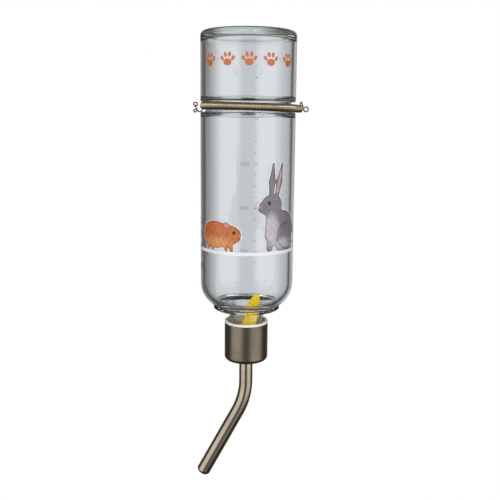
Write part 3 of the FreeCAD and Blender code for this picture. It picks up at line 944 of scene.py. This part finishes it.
@dataclass
class PawRow:
    """A level row of equal paw prints in one colour."""

    count: int = 5
    spacing: float = 15.0
    size: float = 4.6
    colour: Colour = srgb(204, 110, 58)

    def paw(self, across: Field, up: Field, middle: float) -> Field:
        """One upright print: a pad and four toes."""
        size, high = self.size, LAYOUT.row_height
        pad = ellipse(across, up, (middle, high - 0.42 * size), (0.64 * size, 0.50 * size))
        places = ((-0.86, 0.14, -30.0), (-0.33, 0.64, -10.0), (0.33, 0.64, 10.0), (0.86, 0.14, 30.0))
        toes = [
            ellipse(across, up, (middle + x * size, high + z * size), (0.24 * size, 0.37 * size), lean)
            for x, z, lean in places
        ]
        return np.minimum.reduce([pad, *toes])

    def outline(self, across: Field, up: Field) -> Field:
        """All the prints."""
        first = -(self.count - 1) / 2 * self.spacing
        middles = [first + step * self.spacing for step in range(self.count)]
        return np.minimum.reduce([self.paw(across, up, middle) for middle in middles])

    def paint(self, across: Field, up: Field) -> Field:
        """One flat colour."""
        return Paint(across, self.colour).colours


@dataclass
class SideSprigs:
    """Small flowers that carry the print on round the bottle's left side."""

    flowers: tuple[tuple[float, float, float, int], ...] = (
        (-50.5, -82.0, 3.2, 0),
        (-57.5, -92.0, 3.8, 1),
        (-50.0, -101.0, 3.4, 2),
        (-58.5, -108.0, 3.0, 0),
        (-51.5, -115.5, 3.4, 1),
    )
    colours: tuple[Colour, ...] = (srgb(226, 146, 160), srgb(236, 160, 96), srgb(128, 186, 212))
    middle: Colour = srgb(246, 226, 150)

    def flower(self, across: Field, up: Field, spot: tuple[float, float, float, int]) -> Field:
        """Five petals round a middle."""
        right, high, size, _ = spot
        turns = [math.radians(90 + 72 * step) for step in range(5)]
        reach = 0.55 * size
        middles = [(right + reach * math.cos(turn), high + reach * math.sin(turn)) for turn in turns]
        petals = [ellipse(across, up, middle, (0.42 * size,) * 2) for middle in middles]
        return np.minimum.reduce(petals)

    def outline(self, across: Field, up: Field) -> Field:
        """All the flowers."""
        return np.minimum.reduce([self.flower(across, up, spot) for spot in self.flowers])

    def paint(self, across: Field, up: Field) -> Field:
        """Each flower's colour with a pale middle."""
        paint = Paint(across, self.middle)
        for spot in self.flowers:
            paint.over(inside(self.flower(across, up, spot) - 0.3, 0.2), self.colours[spot[3]])
            paint.over(inside(ellipse(across, up, spot[:2], (0.26 * spot[2],) * 2), 0.4), self.middle)
        return paint.colours


@dataclass
class VolumeScale:
    """Volume marks on the back of the glass, read from behind."""

    per_hundred: float = 34.04
    three_hundred: float = -43.1
    tick_start: float = -6.1
    tick_long: float = 3.2
    tick_short: float = 1.7
    tick_height: float = 0.35
    number_size: float = 3.3
    number_thinning: float = -0.09
    number_spread: float = 1.12
    number_gap: float = 4.1
    numbers: tuple[int, ...] = (100, 200, 300)
    above_waist: float = -3.5
    lift: float = 0.05
    ink: Colour = srgb(96, 98, 104)

    def height_of(self, volume: float) -> float:
        """Height of a volume's mark."""
        height = self.three_hundred + (volume - 300) / 100 * self.per_hundred
        return height + (self.above_waist if height > 0 else 0.0)

    def wrapped(self, radius: float, points: Iterable[Sequence[float]]) -> list[tuple[float, float, float]]:
        """Wraps points onto the back of the glass, with X to a reader's right."""
        turned = []
        for across, up in points:
            angle = across / radius
            reach = radius + self.lift
            turned.append((-reach * math.sin(angle), reach * math.cos(angle), up))
        return turned

    def build(self, radius: float, material: Material) -> list[Piece]:
        """Builds the ticks and numbers.

        Args:
            radius: the glass's outer radius in millimetres.
            material: the ink's finish.

        Returns:
            The printed pieces.
        """
        ticks = self.build_ticks(radius, material)
        pieces = [ticks, *(self.build_number(radius, value, material) for value in self.numbers)]
        for piece in pieces:
            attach(piece, "bottle")
        return pieces

    def build_ticks(self, radius: float, material: Material) -> Piece:
        """A mark every 25 millilitres, longer at each hundred."""
        points: list[tuple[float, float]] = []
        faces = []
        for volume in range(75, 526, 25):
            middle = self.height_of(volume)
            if abs(middle) < 8.0:
                continue
            long = self.tick_long if volume % 100 == 0 else self.tick_short
            columns = [self.tick_start - long * share / 4 for share in range(5)]
            for left, right in zip(columns, columns[1:]):
                first = len(points)
                low, high = middle - self.tick_height / 2, middle + self.tick_height / 2
                points += [(left, low), (right, low), (right, high), (left, high)]
                faces.append((first, first + 1, first + 2, first + 3))
        return new_piece("volume_ticks", self.wrapped(radius, points), faces, material)

    def build_number(self, radius: float, value: int, material: Material) -> Piece:
        """One number beside its mark."""
        text = bpy.data.curves.new(f"number_{value}", "FONT")
        text.body = str(value)
        text.size = self.number_size * 1.38
        text.offset = self.number_thinning
        text.space_character = self.number_spread
        text.align_y = "CENTER"
        text.resolution_u = 4
        holder = bpy.data.objects.new("number_holder", text)
        mesh = bpy.data.meshes.new_from_object(holder)
        bpy.data.objects.remove(holder)
        shape = bmesh.new()
        shape.from_mesh(mesh)
        width = max(vertex.co.x for vertex in shape.verts)
        for step in range(1, int(width) + 1):
            geometry = [*shape.verts, *shape.edges, *shape.faces]
            bmesh.ops.bisect_plane(shape, geom=geometry, plane_co=(step, 0, 0), plane_no=(1, 0, 0))
        shape.verts.ensure_lookup_table()
        start, middle = self.tick_start + self.number_gap, self.height_of(value)
        moved = [(vertex.co.x + start, vertex.co.y + middle) for vertex in shape.verts]
        points = self.wrapped(radius, moved)
        shape.verts.index_update()
        faces = [tuple(vertex.index for vertex in face.verts) for face in shape.faces]
        shape.free()
        return new_piece(f"volume_{value}", points, faces, material)


# ---------------------------------------------------------------- bottle, cap and spout


@dataclass
class GlassBottle:
    """The glass body with everything printed on it."""

    glass: GlassFinish = GlassFinish("clear_moulded_glass")
    fur_ink: PrintFinish = PrintFinish("printed_fur", stroke=0.45)
    flat_ink: PrintFinish = PrintFinish("printed_colour", stroke=0.08)
    scale_ink: MouldedFinish = MouldedFinish("printed_scale", srgb(120, 122, 130), srgb(100, 102, 110), 0.4)

    def outer_radius(self) -> float:
        """Radius of the glass in millimetres."""
        low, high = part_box("glass_bottle")
        return (high[0] - low[0]) / 2 / MILLI

    def build(self) -> list[Piece]:
        """Dresses the glass and lays the print on it."""
        dress("glass_bottle", self.glass.make())
        radius = self.outer_radius()
        fur, flat = self.fur_ink.make(), self.flat_ink.make()
        rabbit, guinea_pig = SittingRabbit(), StandingGuineaPig()
        ground, paws, sprigs = WhiteGround(rabbit, guinea_pig), PawRow(), SideSprigs()
        # name, lowest and highest corner, design, height above the glass, ink
        motifs = (
            ("print_ground", (-52, -106), (52, -36), ground, 0.04, flat),
            ("print_rabbit", (4, -103), (50, -36), rabbit, 0.09, fur),
            ("print_guinea_pig", (-42, -103), (-1, -74), guinea_pig, 0.09, fur),
            ("print_paw_row", (-40, 22), (40, 38), paws, 0.06, flat),
            ("print_sprigs", (-64, -121), (-44, -76), sprigs, 0.06, flat),
        )
        pieces = [
            Transfer(name, low, high, design.outline, design.paint, lift).build(radius, ink)
            for name, low, high, design, lift, ink in motifs
        ]
        return pieces + VolumeScale().build(radius, self.scale_ink.make())


@dataclass
class Cap:
    """Metal shell, white liner and rubber washer."""

    shell: MetalFinish = MetalFinish("brushed_nickel", srgb(126, 116, 102), 0.30, Grain.ROUND)
    liner: MouldedFinish = MouldedFinish(
        "white_liner", srgb(246, 246, 246), srgb(232, 232, 230), 0.34, subsurface=0.1
    )
    washer: MouldedFinish = MouldedFinish("pale_rubber", srgb(206, 202, 192), srgb(180, 176, 166), 0.6)

    def build(self) -> None:
        """Dresses the cap's three pieces."""
        dress("cap_shell", self.shell.make())
        dress("cap_liner", self.liner.make())
        dress("rubber_washer", self.washer.make())


@dataclass
class Spout:
    """Drinking tube, its ball, and the float that shows the level."""

    tube: MetalFinish = MetalFinish("polished_steel", srgb(172, 158, 140), 0.13, Grain.ALONG, smudge=0.06)
    ball: MetalFinish = MetalFinish("polished_ball", srgb(190, 188, 184), 0.10, Grain.ROUND, contrast=0.1)
    # the float's glow is painted light: emission that keeps its yellow bright behind the glass
    float_plastic: MouldedFinish = MouldedFinish(
        "yellow_float", srgb(255, 224, 10), srgb(250, 208, 4), 0.35, glow=0.35
    )

    def build(self) -> None:
        """Dresses the tube, ball and float."""
        dress("drinking_tube", self.tube.make())
        dress("valve_ball", self.ball.make())
        dress("level_float", self.float_plastic.make())


def dress(node: str, material: Material) -> None:
    """Gives a carried-over node its finish."""
    shown = frame["nodes"][node]
    for slot in shown.material_slots:
        slot.material = material
    LOG.info("dressed %s with %s", node, material.name)


# ---------------------------------------------------------------- studio


@dataclass
class Studio:
    """Camera, floor and soft light round the object."""

    place: tuple[float, float, float] = (-0.00756, -0.52419, -0.008)
    pitch: float = 10.41
    yaw: float = 1.074
    roll: float = 0.549
    lens: float = 51.96
    floor_gap: float = 0.16
    floor_size: float = 30.0
    surround_strength: float = 1.55
    # (share of a full turn from straight in front, grey level): soft boxes, dark flags, field behind
    surround: tuple[tuple[float, float], ...] = (
        (0.0, 0.12), (0.040, 0.17), (0.085, 0.95), (0.225, 0.85), (0.255, 0.07), (0.43, 0.07),
        (0.458, 0.22), (0.481, 0.38), (0.5, 0.40), (0.56, 0.40), (0.585, 0.20), (0.61, 0.07),
        (0.745, 0.07), (0.775, 0.85), (0.915, 0.95), (0.960, 0.17),
    )
    lamp_place: tuple[float, float, float] = (0.05, -1.25, 0.50)
    lamp_turn: tuple[float, float, float] = (68.0, 0.0, 2.5)
    lamp_size: tuple[float, float] = (1.3, 0.35)
    lamp_energy: float = 7.0

    def build(self) -> None:
        """Builds the whole studio."""
        self.add_camera()
        self.add_floor()
        self.add_surroundings()
        self.add_lights()
        bpy.context.scene.view_settings.view_transform = "Standard"

    def add_camera(self) -> None:
        """Sets the camera on the object at its slight tilt."""
        pitch, yaw, roll = (math.radians(angle) for angle in (self.pitch, self.yaw, self.roll))
        ahead = Vector((math.sin(yaw) * math.cos(pitch), math.cos(yaw) * math.cos(pitch), -math.sin(pitch)))
        right = Vector((math.cos(yaw), -math.sin(yaw), 0.0))
        up = right.cross(ahead)
        level = right * math.cos(roll) + up * math.sin(roll)
        upright = up * math.cos(roll) - right * math.sin(roll)
        camera = bpy.data.objects.new("camera", bpy.data.cameras.new("camera"))
        camera.data.lens = self.lens
        turn = Matrix((level, upright, -ahead)).transposed()
        camera.matrix_world = Matrix.Translation(self.place) @ turn.to_4x4()
        bpy.context.scene.collection.objects.link(camera)
        bpy.context.scene.camera = camera

    def add_floor(self) -> None:
        """A plain pale floor some way under the hanging object."""
        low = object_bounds()[0][2] - self.floor_gap
        half = self.floor_size / 2
        signs = ((-1, -1), (1, -1), (1, 1), (-1, 1))
        corners = [(x * half / MILLI, y * half / MILLI, low / MILLI) for x, y in signs]
        material, graph, shader = new_material("pale_floor")
        glow = graph.add("Emission", Color=(1.0, 1.0, 1.0), Strength=1.0)
        output = next(node for node in graph.tree.nodes if node.type == "OUTPUT_MATERIAL")
        graph.tree.links.new(glow.outputs[0], output.inputs["Surface"])
        floor = new_piece("floor", corners, [(0, 1, 2, 3)], material, smooth=False)
        floor.visible_transmission = False
        floor.visible_glossy = False
        floor.visible_diffuse = False
        floor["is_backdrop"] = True

    def add_surroundings(self) -> None:
        """White to the eye; soft boxes, dark flags and a bright field behind for the glass and metal."""
        world = bpy.data.worlds.new("soft_studio")
        world.use_nodes = True
        graph = Graph(world.node_tree)
        graph.tree.nodes.clear()
        parts = graph.add("SeparateXYZ", Vector=graph.add("TexCoord").outputs["Generated"])
        angle = graph.math("ARCTAN2", parts.outputs[0], parts.outputs[1])
        share = graph.math("ADD", graph.math("DIVIDE", angle, 2 * math.pi), 0.5)
        ramp = graph.add("ValToRGB", Fac=share)
        band = ramp.color_ramp
        while len(band.elements) > 1:
            band.elements.remove(band.elements[-1])
        band.elements[0].position = self.surround[0][0]
        for position, _ in self.surround[1:]:
            band.elements.new(position)
        for element, (_, level) in zip(band.elements, self.surround):
            warmth = 0.10 if level < 0.1 else -0.05 if level < 0.5 else 0.0
            element.color = (level * (1 + warmth), level, level * (1 - warmth * 1.2), 1.0)
        above = graph.remap(parts.outputs[2], 0.60, 0.85, 0.0, 1.0)
        below = graph.remap(parts.outputs[2], -0.38, -0.62, 0.0, 1.0)
        lit = graph.blend(above, ramp.outputs[0], (0.10, 0.105, 0.10))
        grounded = graph.blend(below, lit, (0.05, 0.05, 0.045))
        studio = graph.add("Background", Color=grounded, Strength=self.surround_strength)
        plain = graph.add("Background", Color=(1.0, 1.0, 1.0), Strength=1.0)
        seen = graph.add("LightPath").outputs["Is Camera Ray"]
        mixed = graph.add("MixShader", Fac=seen)
        graph.feed(mixed, 1, studio.outputs[0])
        graph.feed(mixed, 2, plain.outputs[0])
        graph.tree.links.new(mixed.outputs[0], graph.add("OutputWorld").inputs["Surface"])
        bpy.context.scene.world = world

    def add_lights(self) -> None:
        """One wide soft light high in front."""
        lamp = bpy.data.lights.new("high_front", "AREA")
        lamp.shape = "RECTANGLE"
        lamp.size, lamp.size_y = self.lamp_size
        lamp.energy = self.lamp_energy
        light = bpy.data.objects.new("high_front", lamp)
        light.location = self.lamp_place
        light.rotation_euler = [math.radians(angle) for angle in self.lamp_turn]
        light.visible_transmission = False
        bpy.context.scene.collection.objects.link(light)


def clear_default_scene() -> None:
    """Removes whatever isn't part of the frame."""
    kept = {item.name for item in (*frame["nodes"].values(), *frame["bodies"].values())}
    for item in list(bpy.data.objects):
        if item.name not in kept:
            bpy.data.objects.remove(item)


def main() -> None:
    """Builds every sub-assembly and the studio."""
    logging.basicConfig(level=logging.INFO, format="%(name)s: %(message)s")
    clear_default_scene()
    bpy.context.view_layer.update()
    coil_wire = MetalFinish("spring_wire", srgb(186, 166, 140), 0.20, Grain.ALONG, contrast=0.25)
    # painted shade: the hooks take a darker copy of the coil's wire colour, standing in for the dark look of
    # their reflections
    shaded_hook_wire = MetalFinish("shaded_hook_wire", srgb(92, 76, 54), 0.20, Grain.ALONG, contrast=0.3)
    pieces = GlassBottle().build()
    Cap().build()
    Spout().build()
    pieces += HoldingSpring().build(coil_wire.make(), shaded_hook_wire.make())
    for piece in pieces:
        LOG.info("built %s with %d faces", piece.name, len(piece.data.polygons))
    Studio().build()


if __name__ == "__main__":
    main()
